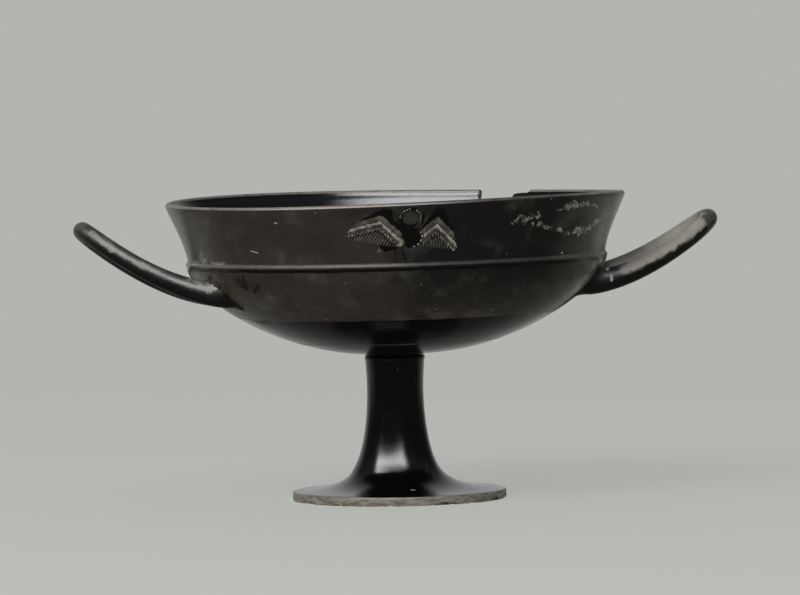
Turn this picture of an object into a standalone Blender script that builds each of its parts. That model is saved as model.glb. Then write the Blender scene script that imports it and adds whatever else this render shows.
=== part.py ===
"""Greek kylix: a wheel-thrown lip cup on a tall stem, with two loop handles.

Foot, stem, neck ring, bowl, offset lip and handles are one piece of fired clay, so they end as one
solid. Each is turned or bent by itself, as a potter does, and luted to the rest. The cup is hollow,
and so is its foot. Its age shows: a sherd is lost from the rim, and the foot's edge is chipped.

The origin is on the table, under the middle of the bowl. +X runs through the handles, +Z is up.
"""

import math

import bmesh
import bpy
from mathutils import Matrix, Vector
from mathutils.geometry import interpolate_bezier

MM = 0.001

# Foot: a flat disc that rests on a ring, trimmed a little off centre
FOOT_RADIUS = 51.4 * MM
FOOT_EDGE_HEIGHT = 4.4 * MM
FOOT_EDGE_ROUND = 0.7 * MM
FOOT_OFF_CENTRE = 1.3 * MM
RESTING_RING_WIDTH = 13.0 * MM

# Stem: narrowest at its waist, flaring into the foot, hollow from below
WAIST_RADIUS = 13.6 * MM
WAIST_HEIGHT = 52.9 * MM
FLARE_RADIUS = 20.5 * MM
FLARE_HEIGHT = 15.4 * MM
STEM_OFF_CENTRE = -2.3 * MM
STEM_WALL = 6.5 * MM
STEM_SOLID_TOP = 18.0 * MM

# Neck ring: a ridge where the stem meets the bowl
NECK_RADIUS = 13.5 * MM
NECK_RING_RADIUS = 15.0 * MM
NECK_RING_HEIGHT = 2.4 * MM
NECK_RING_DROP = 1.8 * MM

# Bowl
BOWL_BOTTOM = 70.3 * MM
BOWL_DEPTH = 45.8 * MM
BOWL_WALL = 4.2 * MM
BOWL_FLOOR = 7.0 * MM
BOWL_LEAN = math.radians(0.65)

# Lip: set back from the bowl by a small ledge, then flaring to a round rim
LIP_FLARE = 10.0 * MM
LIP_LEDGE = 0.9 * MM
LIP_HEIGHT = 29.5 * MM
LIP_WALL = 3.4 * MM
RIM_RADIUS = 110.5 * MM
RIM_THICKNESS = 3.2 * MM
RIM_WARP = 1.0 * MM
RIM_WARP_TURN = math.radians(7.5)

# Handles: round loops that leave the bowl below the lip and rise outwards
HANDLE_SPAN = 312.0 * MM
HANDLE_THICKNESS = 8.6 * MM
HANDLE_ROOT_THICKNESS = 12.4 * MM
HANDLE_ROOT_LENGTH = 50.0 * MM
HANDLE_ROOT_SPACING = 66.0 * MM
HANDLE_ROOT_DROP = 14.4 * MM
HANDLE_RISE = 30.5 * MM
HANDLE_RISE_POWER = 1.7
HANDLE_ROOT_POWER = 1.7
HANDLE_UNEVENNESS = 1.3 * MM
HANDLE_TWIST = 1.6 * MM

# The lost sherd: a deep notch in the rim with a shallow flake beside it. The breaks are points along
# the rim, as shares of the sherd's or flake's width, and down from it, as shares of its depth.
SHERD_ANGLE = math.radians(55.1)
SHERD_WIDTH = 19.0 * MM
SHERD_DEPTH = 12.0 * MM
SHERD_BREAK = ((0.45, 0.55), (0.125, 1.0), (-0.275, 0.72), (-0.5, 0.34))
FLAKE_WIDTH = 11.5 * MM
FLAKE_DEPTH = 2.0 * MM
FLAKE_BREAK = ((0.12, 1.0), (0.78, 0.8), (1.0, -0.2))

# Chips in the foot's lower edge: where they are round the foot, in degrees, and how wide
FOOT_CHIPS = ((-73.7, 9.5 * MM), (-34.0, 7.0 * MM), (128.0, 8.0 * MM))
FOOT_CHIP_HEIGHT = 1.7 * MM
FOOT_CHIP_STAND_OFF = 3.0 * MM

# How far each curve holds its direction at its two ends, as shares of its width and height
LIP_CURVE = ((0.34, 0.30), (0.04, 0.26))
BOWL_CURVE = ((0.006, 0.35), (0.50, 0.012))
SHAFT_CURVE = ((0.30, 0.30), (0.0, 0.40))
FLARE_CURVE = ((0.0, 0.40), (0.64, 0.17))
PLATE_CURVE = ((0.09, 0.62), (0.55, 0.10))
HOLLOW_STEM_CURVE = ((0.0, 0.35), (0.55, 0.22))
HOLLOW_FOOT_CURVE = ((0.10, 0.55), (0.60, 0.18))
HANDLE_PLAN_CURVE = ((0.66, 0.15), (0.0, 0.65))

# Facets
BOWL_SIDES = 60
STEM_SIDES = 40
HANDLE_POINT_COUNT = 15
HANDLE_BEVEL_STEPS = 3
CHIP_SIDES = 14
OVERSHOOT = 2.0 * MM
WELD = 0.001 * MM

LIP_BASE = BOWL_BOTTOM + BOWL_DEPTH
LIP_BASE_RADIUS = RIM_RADIUS - LIP_FLARE
RIM_HEIGHT = LIP_BASE + LIP_HEIGHT
RIM_HALF = RIM_THICKNESS / 2
FOOT_HOLLOW_RADIUS = FOOT_RADIUS - RESTING_RING_WIDTH


def curve_between(start, end, pulls, count):
    """Return count points on a curve from start to end; pulls say how far it holds each end's way."""
    width = end[0] - start[0]
    height = end[1] - start[1]
    (start_out, start_down), (end_out, end_down) = pulls
    leave = (start[0] + start_out * width, start[1] + start_down * height)
    arrive = (end[0] - end_out * width, end[1] - end_down * height)
    knots = [Vector((across, 0, up)) for across, up in (start, leave, arrive, end)]
    return [(point.x, point.z) for point in interpolate_bezier(*knots, count)]


def arc(centre, radius, start_degrees, end_degrees, count):
    """Return count points on a circle's arc."""
    points = []
    for step in range(count):
        angle = math.radians(start_degrees + (end_degrees - start_degrees) * step / (count - 1))
        points.append((centre[0] + radius * math.cos(angle), centre[1] + radius * math.sin(angle)))
    return points


def lip_outline():
    """The lip's outer side, from the round rim down to the ledge."""
    crown = arc((RIM_RADIUS - RIM_HALF, RIM_HEIGHT - RIM_HALF), RIM_HALF, 90, -10, 4)
    base = (LIP_BASE_RADIUS, LIP_BASE + LIP_LEDGE)
    return crown + curve_between(crown[-1], base, LIP_CURVE, 8)[1:]


def bowl_outline():
    """The bowl's outer side, from the ledge under the lip down to the neck."""
    top = (LIP_BASE_RADIUS + LIP_LEDGE, LIP_BASE)
    bottom = (NECK_RADIUS, BOWL_BOTTOM)
    return curve_between(top, bottom, BOWL_CURVE, 13)


def body_outline():
    """Lip and bowl as one solid, before it is hollowed."""
    return [(0, RIM_HEIGHT)] + lip_outline() + bowl_outline() + [(0, BOWL_BOTTOM)]


def wall_inside(outline, top_wall, bottom_wall):
    """Offset an outline inwards by a wall that grows towards its lower end."""
    inside = []
    last = len(outline) - 1
    for index, (radius, height) in enumerate(outline):
        before = outline[max(index - 1, 0)]
        after = outline[min(index + 1, last)]
        along = Vector((after[0] - before[0], after[1] - before[1])).normalized()
        wall = top_wall + (bottom_wall - top_wall) * (index / last) ** 2
        inside.append((radius + along.y * wall, height - along.x * wall))
    return inside


def cavity_outline():
    """The inside of the cup, from above the rim down to the middle of its floor."""
    crown = arc((RIM_RADIUS - RIM_HALF, RIM_HEIGHT - RIM_HALF), RIM_HALF, 99, 180, 4)
    above = RIM_HEIGHT + OVERSHOOT
    lip = wall_inside(lip_outline()[4:-1], LIP_WALL, BOWL_WALL)
    bowl = wall_inside(bowl_outline()[2:], BOWL_WALL, BOWL_FLOOR)
    return [(0, above), (crown[0][0], above)] + crown + lip + bowl + [(0, BOWL_BOTTOM + BOWL_FLOOR)]


def stem_outline():
    """Stem and foot, from inside the bowl's floor down to the middle of the underside."""
    top = BOWL_BOTTOM + BOWL_FLOOR / 2
    ring_middle = BOWL_BOTTOM - NECK_RING_DROP
    ring_top = ring_middle + NECK_RING_HEIGHT / 2
    ring_bottom = ring_middle - NECK_RING_HEIGHT / 2
    shoulder = (NECK_RADIUS + NECK_RING_RADIUS) / 2
    neck = [(0, top), (NECK_RADIUS, top), (NECK_RADIUS, ring_top), (NECK_RING_RADIUS, ring_middle)]
    waist = (WAIST_RADIUS, WAIST_HEIGHT)
    flare = (FLARE_RADIUS, FLARE_HEIGHT)
    edge = (FOOT_RADIUS - FOOT_EDGE_ROUND, FOOT_EDGE_HEIGHT)
    shaft = curve_between((shoulder, ring_bottom), waist, SHAFT_CURVE, 4)
    swell = curve_between(waist, flare, FLARE_CURVE, 8)
    plate = curve_between(flare, edge, PLATE_CURVE, 8)
    rim = [
        (FOOT_RADIUS, FOOT_EDGE_HEIGHT - FOOT_EDGE_ROUND),
        (FOOT_RADIUS, FOOT_EDGE_ROUND),
        (FOOT_RADIUS - FOOT_EDGE_ROUND, 0),
        (0, 0),
    ]
    return neck + shaft + swell[1:] + plate[1:] + rim


def hollow_outline():
    """The hollow under the foot, from its tip in the stem down past the table."""
    tip = BOWL_BOTTOM - STEM_SOLID_TOP
    bore = WAIST_RADIUS - STEM_WALL
    throat = (FLARE_RADIUS - STEM_WALL, FLARE_HEIGHT - STEM_WALL / 2)
    mouth = (FOOT_HOLLOW_RADIUS, 0)
    dome = arc((0, tip - bore), bore, 75, 15, 4)
    narrow = curve_between(dome[-1], throat, HOLLOW_STEM_CURVE, 5)
    wide = curve_between(throat, mouth, HOLLOW_FOOT_CURVE, 5)
    below = [(FOOT_HOLLOW_RADIUS, -OVERSHOOT), (0, -OVERSHOOT)]
    return [(0, tip)] + dome + narrow[1:] + wide[1:] + below


def place(name, mesh, collection):
    """Put a mesh in the scene as an object."""
    thing = bpy.data.objects.new(name, mesh)
    collection.objects.link(thing)
    return thing


def place_cutter(name, mesh, collection):
    """Put a solid that only cuts or joins in the scene, out of the render."""
    cutter = place(name, mesh, collection)
    cutter.hide_render = True
    cutter.display_type = "WIRE"
    return cutter


def finished_mesh(thing):
    """Return the welded mesh that an object's modifiers or curve give, and remove the object."""
    bpy.context.view_layer.update()
    evaluated = thing.evaluated_get(bpy.context.evaluated_depsgraph_get())
    mesh = bpy.data.meshes.new_from_object(evaluated)
    mesh.transform(thing.matrix_world)
    bpy.data.objects.remove(thing)
    shape = bmesh.new()
    shape.from_mesh(mesh)
    bmesh.ops.remove_doubles(shape, verts=shape.verts, dist=WELD)
    bmesh.ops.recalc_face_normals(shape, faces=shape.faces)
    shape.to_mesh(mesh)
    shape.free()
    mesh.shade_smooth()
    mesh.set_sharp_from_angle(angle=math.radians(35))
    return mesh


def turned(name, outline, sides, collection):
    """Turn an outline, given from top to bottom on its outer side, into a closed solid's mesh."""
    profile = bpy.data.meshes.new(name)
    shape = bmesh.new()
    corners = [shape.verts.new((radius, 0, height)) for radius, height in outline]
    for start, end in zip(corners, corners[1:]):
        shape.edges.new((start, end))
    shape.to_mesh(profile)
    shape.free()
    lathe = place(name, profile, collection)
    screw = lathe.modifiers.new("Turn", "SCREW")
    screw.axis = "Z"
    screw.angle = math.tau
    screw.steps = sides
    screw.render_steps = sides
    screw.use_merge_vertices = True
    screw.merge_threshold = WELD
    return finished_mesh(lathe)


def lean_and_warp(mesh):
    """Lean the bowl on its stem and pull the rim out of true, as drying and firing did."""
    pivot = Matrix.Translation((0, 0, BOWL_BOTTOM))
    mesh.transform(pivot @ Matrix.Rotation(-BOWL_LEAN, 4, "Y") @ pivot.inverted())
    for vertex in mesh.vertices:
        share = (vertex.co.z - LIP_BASE) / LIP_HEIGHT
        if share > 0:
            angle = math.atan2(vertex.co.y, vertex.co.x) + RIM_WARP_TURN
            vertex.co.z -= RIM_WARP * share * math.sin(2 * angle)


def shift_foot(mesh):
    """Set the stem under the bowl, and slide the foot's disc sideways under the stem."""
    for vertex in mesh.vertices:
        share = (FLARE_HEIGHT - vertex.co.z) / (FLARE_HEIGHT - FOOT_EDGE_HEIGHT)
        vertex.co.x += STEM_OFF_CENTRE + FOOT_OFF_CENTRE * min(max(share, 0.0), 1.0)


def bowl_radius_at(height):
    """The bowl's outer radius at a height between the neck and the ledge."""
    outline = bowl_outline()
    for (upper_radius, upper), (lower_radius, lower) in zip(outline, outline[1:]):
        if height >= lower:
            return lower_radius + (upper_radius - lower_radius) * (height - lower) / (upper - lower)
    return NECK_RADIUS


def handle_mesh(name, side, collection):
    """Bend the loop handle of one side, +1 right or -1 left, with its roots inside the bowl's wall."""
    root_height = LIP_BASE - HANDLE_ROOT_DROP + side * HANDLE_UNEVENNESS
    tip_height = LIP_BASE - HANDLE_ROOT_DROP + HANDLE_RISE
    half_root = HANDLE_ROOT_SPACING / 2
    wall_x = math.sqrt(bowl_radius_at(root_height) ** 2 - half_root ** 2)
    tip_x = (HANDLE_SPAN - HANDLE_THICKNESS) / 2
    buried = (wall_x - HANDLE_ROOT_THICKNESS, half_root)
    half = curve_between(buried, (tip_x, 0), HANDLE_PLAN_CURVE, HANDLE_POINT_COUNT)
    loop = half + [(x, -y) for x, y in reversed(half[:-1])]
    curve = bpy.data.curves.new(name, "CURVE")
    curve.dimensions = "3D"
    curve.bevel_depth = HANDLE_THICKNESS / 2
    curve.bevel_resolution = HANDLE_BEVEL_STEPS
    curve.use_fill_caps = True
    spline = curve.splines.new("POLY")
    spline.points.add(len(loop) - 1)
    for point, (x, y) in zip(spline.points, loop):
        share = max(0.0, (x - wall_x) / (tip_x - wall_x))
        height = root_height + (tip_height - root_height) * share ** HANDLE_RISE_POWER
        flare = min(1.0, max(0.0, 1 - (x - wall_x) / HANDLE_ROOT_LENGTH)) ** HANDLE_ROOT_POWER
        thickness = HANDLE_THICKNESS + (HANDLE_ROOT_THICKNESS - HANDLE_THICKNESS) * flare
        height -= HANDLE_TWIST * y / HANDLE_ROOT_SPACING
        point.co = (side * x, y, height, 1)
        point.radius = thickness / HANDLE_THICKNESS
    return finished_mesh(place(name, curve, collection))


def sherd_mesh():
    """The lost sherd's outline as a thick plate that stands across the rim's wall."""
    above = OVERSHOOT + RIM_WARP
    right = -SHERD_WIDTH / 2
    outline = [(SHERD_WIDTH / 2, above)]
    outline += [(along * SHERD_WIDTH, -down * SHERD_DEPTH) for along, down in SHERD_BREAK]
    outline += [(right - along * FLAKE_WIDTH, -down * FLAKE_DEPTH) for along, down in FLAKE_BREAK]
    outline += [(right - FLAKE_WIDTH, above)]
    inner = RIM_RADIUS - SHERD_WIDTH
    plate = bmesh.new()
    corners = [plate.verts.new((inner, along, RIM_HEIGHT + up)) for along, up in outline]
    extruded = bmesh.ops.extrude_face_region(plate, geom=[plate.faces.new(corners)])
    moved = [item for item in extruded["geom"] if isinstance(item, bmesh.types.BMVert)]
    bmesh.ops.translate(plate, verts=moved, vec=(2 * SHERD_WIDTH, 0, 0))
    bmesh.ops.recalc_face_normals(plate, faces=plate.faces)
    mesh = bpy.data.meshes.new("lost_sherd")
    plate.to_mesh(mesh)
    plate.free()
    mesh.transform(Matrix.Rotation(SHERD_ANGLE, 4, "Z"))
    return mesh


def chip_mesh(angle, width):
    """A ball that bites a shell-shaped chip out of the foot's lower edge."""
    half = width / 2
    below = (half ** 2 - FOOT_CHIP_HEIGHT ** 2) / (2 * FOOT_CHIP_HEIGHT)
    radius = math.hypot(FOOT_CHIP_STAND_OFF, below, half)
    ball = bmesh.new()
    bmesh.ops.create_uvsphere(ball, u_segments=CHIP_SIDES, v_segments=CHIP_SIDES // 2, radius=radius)
    mesh = bpy.data.meshes.new("chip")
    ball.to_mesh(mesh)
    ball.free()
    mesh.transform(Matrix.Translation((FOOT_RADIUS + FOOT_CHIP_STAND_OFF, 0, -below)))
    mesh.transform(Matrix.Rotation(math.radians(angle), 4, "Z"))
    mesh.transform(Matrix.Translation((STEM_OFF_CENTRE + FOOT_OFF_CENTRE, 0, 0)))
    return mesh


def combine(target, operation, other):
    """Join another solid to the target, or cut it out of the target."""
    change = target.modifiers.new(other.name, "BOOLEAN")
    change.operation = operation
    change.solver = "EXACT"
    change.object = other


def black_gloss_clay():
    """Fired clay under a near-black gloss."""
    material = bpy.data.materials.new("black_gloss_clay")
    material.use_nodes = True
    shader = material.node_tree.nodes["Principled BSDF"]
    shader.inputs["Base Color"].default_value = (0.024, 0.018, 0.012, 1)
    shader.inputs["Roughness"].default_value = 0.3
    shader.inputs["Metallic"].default_value = 0.0
    return material


def build():
    """Turn and bend the pieces, join them, then take the hollows, the sherd and the chips away."""
    pieces = bpy.data.collections.new("kylix")
    cutters = bpy.data.collections.new("cutters")
    for collection in (pieces, cutters):
        bpy.context.scene.collection.children.link(collection)

    body = turned("kylix", body_outline(), BOWL_SIDES, pieces)
    cavity = turned("cavity", cavity_outline(), BOWL_SIDES, cutters)
    stem = turned("stem_and_foot", stem_outline(), STEM_SIDES, cutters)
    hollow = turned("foot_hollow", hollow_outline(), STEM_SIDES, cutters)
    for mesh in (body, cavity):
        lean_and_warp(mesh)
    for mesh in (stem, hollow):
        shift_foot(mesh)

    cup = place("kylix", body, pieces)
    cup.data.materials.append(black_gloss_clay())
    combine(cup, "UNION", place_cutter("stem_and_foot", stem, cutters))
    for name, side in (("handle_right", 1), ("handle_left", -1)):
        combine(cup, "UNION", place_cutter(name, handle_mesh(name, side, cutters), cutters))
    combine(cup, "DIFFERENCE", place_cutter("lost_sherd", sherd_mesh(), cutters))
    combine(cup, "DIFFERENCE", place_cutter("cavity", cavity, cutters))
    combine(cup, "DIFFERENCE", place_cutter("foot_hollow", hollow, cutters))
    for index, (angle, width) in enumerate(FOOT_CHIPS):
        combine(cup, "DIFFERENCE", place_cutter(f"chip_{index + 1}", chip_mesh(angle, width), cutters))


for old in list(bpy.data.objects):
    bpy.data.objects.remove(old)
build()
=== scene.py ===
"""Greek kylix: a black-gloss and bare-clay lip cup with a painted bird, chipped and worn by its age.

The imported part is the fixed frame. One finer cup, built here to the same sizes, stands for it, with a
smooth join where the handles were luted on, rough breaks and the painter's work on its clay.
"""

import math

import bmesh
import bpy
from mathutils import Matrix, Vector, kdtree, noise
from mathutils.geometry import interpolate_bezier


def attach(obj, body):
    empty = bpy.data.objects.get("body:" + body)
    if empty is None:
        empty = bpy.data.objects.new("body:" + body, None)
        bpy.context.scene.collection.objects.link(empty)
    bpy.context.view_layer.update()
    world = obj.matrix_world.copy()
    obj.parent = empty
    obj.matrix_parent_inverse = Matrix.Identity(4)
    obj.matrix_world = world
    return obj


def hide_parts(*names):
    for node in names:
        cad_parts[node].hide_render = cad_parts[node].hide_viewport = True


MM = 0.001

# The cup's sizes, as in the part
FOOT_RADIUS = 51.4 * MM
FOOT_EDGE_HEIGHT = 4.4 * MM
FOOT_EDGE_ROUND = 0.7 * MM
FOOT_OFF_CENTRE = 1.3 * MM
RESTING_RING_WIDTH = 13.0 * MM
WAIST_RADIUS = 13.6 * MM
WAIST_HEIGHT = 52.9 * MM
FLARE_RADIUS = 20.5 * MM
FLARE_HEIGHT = 15.4 * MM
STEM_OFF_CENTRE = -2.3 * MM
STEM_WALL = 6.5 * MM
STEM_SOLID_TOP = 18.0 * MM
NECK_RADIUS = 13.5 * MM
NECK_RING_RADIUS = 15.0 * MM
NECK_RING_HEIGHT = 2.4 * MM
NECK_RING_DROP = 1.8 * MM
NECK_RING_CURVE = ((1.6, 0.1), (-0.9, 0.1))
BOWL_BOTTOM = 70.3 * MM
BOWL_DEPTH = 45.8 * MM
BOWL_WALL = 4.2 * MM
BOWL_FLOOR = 7.0 * MM
BOWL_LEAN = math.radians(0.65)
LIP_FLARE = 10.0 * MM
LIP_LEDGE = 0.9 * MM
LIP_HEIGHT = 29.5 * MM
LIP_WALL = 3.4 * MM
RIM_RADIUS = 110.5 * MM
RIM_THICKNESS = 3.2 * MM
RIM_WARP = 1.0 * MM
RIM_WARP_TURN = math.radians(7.5)
HANDLE_SPAN = 312.0 * MM
HANDLE_THICKNESS = 8.6 * MM
HANDLE_ROOT_THICKNESS = 12.4 * MM
HANDLE_ROOT_LENGTH = 50.0 * MM
HANDLE_ROOT_SPACING = 66.0 * MM
HANDLE_ROOT_DROP = 14.4 * MM
HANDLE_RISE = 30.5 * MM
HANDLE_RISE_POWER = 1.7
HANDLE_ROOT_POWER = 1.7
HANDLE_UNEVENNESS = 1.3 * MM
HANDLE_TWIST = 1.6 * MM
SHERD_ANGLE = math.radians(55.1)
SHERD_WIDTH = 19.0 * MM
SHERD_DEPTH = 12.0 * MM
SHERD_BREAK = ((0.45, 0.55), (0.125, 1.0), (-0.275, 0.72), (-0.5, 0.34))
FLAKE_WIDTH = 11.5 * MM
FLAKE_DEPTH = 2.0 * MM
FLAKE_BREAK = ((0.12, 1.0), (0.78, 0.8), (1.0, -0.2))
FOOT_CHIPS = ((-73.7, 9.5 * MM), (-34.0, 7.0 * MM), (128.0, 8.0 * MM))
FOOT_CHIP_HEIGHT = 1.7 * MM
FOOT_CHIP_STAND_OFF = 3.0 * MM
LIP_CURVE = ((0.34, 0.30), (0.04, 0.26))
BOWL_CURVE = ((0.006, 0.35), (0.50, 0.012))
SHAFT_CURVE = ((0.30, 0.30), (0.0, 0.40))
FLARE_CURVE = ((0.0, 0.40), (0.64, 0.17))
PLATE_CURVE = ((0.09, 0.62), (0.55, 0.10))
HOLLOW_STEM_CURVE = ((0.0, 0.35), (0.55, 0.22))
HOLLOW_FOOT_CURVE = ((0.10, 0.55), (0.60, 0.18))
HANDLE_PLAN_CURVE = ((0.66, 0.15), (0.0, 0.65))

LIP_BASE = BOWL_BOTTOM + BOWL_DEPTH
LIP_BASE_RADIUS = RIM_RADIUS - LIP_FLARE
RIM_HEIGHT = LIP_BASE + LIP_HEIGHT
RIM_HALF = RIM_THICKNESS / 2
FOOT_HOLLOW_RADIUS = FOOT_RADIUS - RESTING_RING_WIDTH

# How finely the visible cup is turned, and how its parts run into each other
CUP_SIDES = 240
STEM_SIDES = 144
HANDLE_RINGS = 72
HANDLE_SIDES = 28
RIM_POINTS = 8
LIP_POINTS = 20
LEDGE_POINTS = 4
BOWL_POINTS = 44
NECK_RING_POINTS = 9
SHAFT_POINTS = 14
FOOT_POINTS = 26
FOOT_EDGE_POINTS = 4
HOLLOW_TIP_POINTS = 6
HOLLOW_STEM_POINTS = 14
HOLLOW_FOOT_POINTS = 16
JOIN_REACH = 5.0 * MM
JOIN_PASSES = 14
EASING_PASSES = 6
SHARP_ANGLE = math.radians(38)
OVERSHOOT = 2.0 * MM
WELD = 0.001 * MM
SLIVER = 0.02 * MM

# How rough the breaks are: how deep, in lumps of what size, and how finely they are cut
SHERD_ROUGHNESS = (0.5 * MM, 3.5 * MM)
SHERD_CUTS = 15
CHIP_ROUGHNESS = (0.25 * MM, 2.2 * MM)
CHIP_CUTS = 5
BREAKS_SEED = 7

# The worn lower edge of the foot: how far in and up it is worn, how deep, and the noise of its bites
FOOT_WEAR_REACH = 1.5 * FOOT_EDGE_ROUND
FOOT_WEAR_BELOW = 1.2 * FOOT_EDGE_ROUND
FOOT_WEAR_HEIGHT = 1.6 * MM
FOOT_WEAR_GRAIN = 5.0 * MM
FOOT_WEAR_LUMPS = (0.7, 2.0, 3)

# The materials' places in the cup's list
OUTSIDE, INSIDE, HANDLES, UNDERSIDE, BREAKS = range(5)

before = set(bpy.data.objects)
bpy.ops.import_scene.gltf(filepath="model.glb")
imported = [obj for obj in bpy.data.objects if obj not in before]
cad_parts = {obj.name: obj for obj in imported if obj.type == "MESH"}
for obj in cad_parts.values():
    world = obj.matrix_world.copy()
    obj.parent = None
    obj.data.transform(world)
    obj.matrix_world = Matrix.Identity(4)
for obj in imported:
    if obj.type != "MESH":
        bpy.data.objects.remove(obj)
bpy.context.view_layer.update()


def curve_between(start, end, pulls, count):
    """Return count points on a curve from start to end; pulls say how far it holds each end's way."""
    width = end[0] - start[0]
    height = end[1] - start[1]
    (start_out, start_down), (end_out, end_down) = pulls
    leave = (start[0] + start_out * width, start[1] + start_down * height)
    arrive = (end[0] - end_out * width, end[1] - end_down * height)
    knots = [Vector((across, 0, up)) for across, up in (start, leave, arrive, end)]
    return [(point.x, point.z) for point in interpolate_bezier(*knots, count)]


def arc(centre, radius, start_degrees, end_degrees, count):
    """Return count points on a circle's arc."""
    points = []
    for step in range(count):
        angle = math.radians(start_degrees + (end_degrees - start_degrees) * step / (count - 1))
        points.append((centre[0] + radius * math.cos(angle), centre[1] + radius * math.sin(angle)))
    return points


def lip_outline():
    """The lip's outer side, from the round rim down to the ledge."""
    crown = arc((RIM_RADIUS - RIM_HALF, RIM_HEIGHT - RIM_HALF), RIM_HALF, 90, -10, RIM_POINTS)
    base = (LIP_BASE_RADIUS, LIP_BASE + LIP_LEDGE)
    return crown + curve_between(crown[-1], base, LIP_CURVE, LIP_POINTS)[1:]


def bowl_outline():
    """The bowl's outer side, from the ledge under the lip down to the neck."""
    top = (LIP_BASE_RADIUS + LIP_LEDGE, LIP_BASE)
    bottom = (NECK_RADIUS, BOWL_BOTTOM)
    return curve_between(top, bottom, BOWL_CURVE, BOWL_POINTS)


def wall_inside(outline, top_wall, bottom_wall):
    """Offset an outline inwards by a wall that grows towards its lower end."""
    inside = []
    last = len(outline) - 1
    for index, (radius, height) in enumerate(outline):
        before = outline[max(index - 1, 0)]
        after = outline[min(index + 1, last)]
        along = Vector((after[0] - before[0], after[1] - before[1])).normalized()
        wall = top_wall + (bottom_wall - top_wall) * (index / last) ** 2
        inside.append((radius + along.y * wall, height - along.x * wall))
    return inside


def cavity_outline():
    """The inside of the cup, from above the rim down to the middle of its floor."""
    crown = arc((RIM_RADIUS - RIM_HALF, RIM_HEIGHT - RIM_HALF), RIM_HALF, 99, 180, RIM_POINTS)
    above = RIM_HEIGHT + OVERSHOOT
    lip = wall_inside(lip_outline()[RIM_POINTS + 1 : -1], LIP_WALL, BOWL_WALL)
    bowl = wall_inside(bowl_outline()[LEDGE_POINTS:], BOWL_WALL, BOWL_FLOOR)
    return [(0, above), (crown[0][0], above)] + crown + lip + bowl + [(0, BOWL_BOTTOM + BOWL_FLOOR)]


def eased(outline):
    """Run an outline's curves into each other, as the potter's sponge does, with its ends kept."""
    for _ in range(EASING_PASSES):
        middle = [
            tuple((a + 2 * b + c) / 4 for a, b, c in zip(before, point, after))
            for before, point, after in zip(outline, outline[1:], outline[2:])
        ]
        outline = outline[:1] + middle + outline[-1:]
    return outline


def stem_outline():
    """Stem and foot, from inside the bowl's floor down to the middle of the underside."""
    top = BOWL_BOTTOM + BOWL_FLOOR / 2
    ring_middle = BOWL_BOTTOM - NECK_RING_DROP
    ring_half = NECK_RING_HEIGHT / 2
    shoulder = (NECK_RADIUS + NECK_RING_RADIUS) / 2
    neck = [(0, top), (NECK_RADIUS, top), (NECK_RADIUS, ring_middle + ring_half)]
    below = (shoulder, ring_middle - ring_half)
    ring = curve_between(neck[-1], below, NECK_RING_CURVE, NECK_RING_POINTS)
    waist = (WAIST_RADIUS, WAIST_HEIGHT)
    flare = (FLARE_RADIUS, FLARE_HEIGHT)
    edge = (FOOT_RADIUS - FOOT_EDGE_ROUND, FOOT_EDGE_HEIGHT)
    shaft = curve_between(ring[-1], waist, SHAFT_CURVE, SHAFT_POINTS)
    swell = curve_between(waist, flare, FLARE_CURVE, FOOT_POINTS)
    plate = curve_between(flare, edge, PLATE_CURVE, FOOT_POINTS)
    upper = (edge[0], FOOT_EDGE_HEIGHT - FOOT_EDGE_ROUND)
    upper_edge = arc(upper, FOOT_EDGE_ROUND, 90, 0, FOOT_EDGE_POINTS)
    lower_edge = arc((edge[0], FOOT_EDGE_ROUND), FOOT_EDGE_ROUND, 0, -90, FOOT_EDGE_POINTS)
    side = eased(shaft[1:] + swell[1:] + plate[1:])
    return neck + ring[1:] + side + upper_edge[1:] + lower_edge + [(0, 0)]


def hollow_outline():
    """The hollow under the foot, from its tip in the stem down past the table."""
    tip = BOWL_BOTTOM - STEM_SOLID_TOP
    bore = WAIST_RADIUS - STEM_WALL
    throat = (FLARE_RADIUS - STEM_WALL, FLARE_HEIGHT - STEM_WALL / 2)
    mouth = (FOOT_HOLLOW_RADIUS, 0)
    dome = arc((0, tip - bore), bore, 75, 15, HOLLOW_TIP_POINTS)
    narrow = curve_between(dome[-1], throat, HOLLOW_STEM_CURVE, HOLLOW_STEM_POINTS)
    wide = curve_between(throat, mouth, HOLLOW_FOOT_CURVE, HOLLOW_FOOT_POINTS)
    below = [(FOOT_HOLLOW_RADIUS, -OVERSHOOT), (0, -OVERSHOOT)]
    return [(0, tip)] + dome + narrow[1:] + wide[1:] + below


def place(name, shape, surface):
    """Put a finished shape in the scene as an object, all of it in one of the cup's materials."""
    bmesh.ops.remove_doubles(shape, verts=shape.verts, dist=WELD)
    bmesh.ops.recalc_face_normals(shape, faces=shape.faces)
    for face in shape.faces:
        face.material_index = surface
        face.smooth = True
    mesh = bpy.data.meshes.new(name)
    shape.to_mesh(mesh)
    shape.free()
    for material in cup_materials:
        mesh.materials.append(material)
    thing = bpy.data.objects.new(name, mesh)
    bpy.context.scene.collection.objects.link(thing)
    return thing


def turned(outline, sides):
    """Turn an outline, given from top to bottom on its outer side, into a closed shape."""
    shape = bmesh.new()
    corners = [shape.verts.new((radius, 0, height)) for radius, height in outline]
    edges = [shape.edges.new(pair) for pair in zip(corners, corners[1:])]
    bmesh.ops.spin(
        shape,
        geom=corners + edges,
        cent=(0, 0, 0),
        axis=(0, 0, 1),
        angle=math.tau,
        steps=sides,
        use_merge=True,
    )
    bmesh.ops.remove_doubles(shape, verts=shape.verts, dist=WELD)
    bmesh.ops.dissolve_degenerate(shape, edges=shape.edges, dist=WELD)
    return shape


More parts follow.
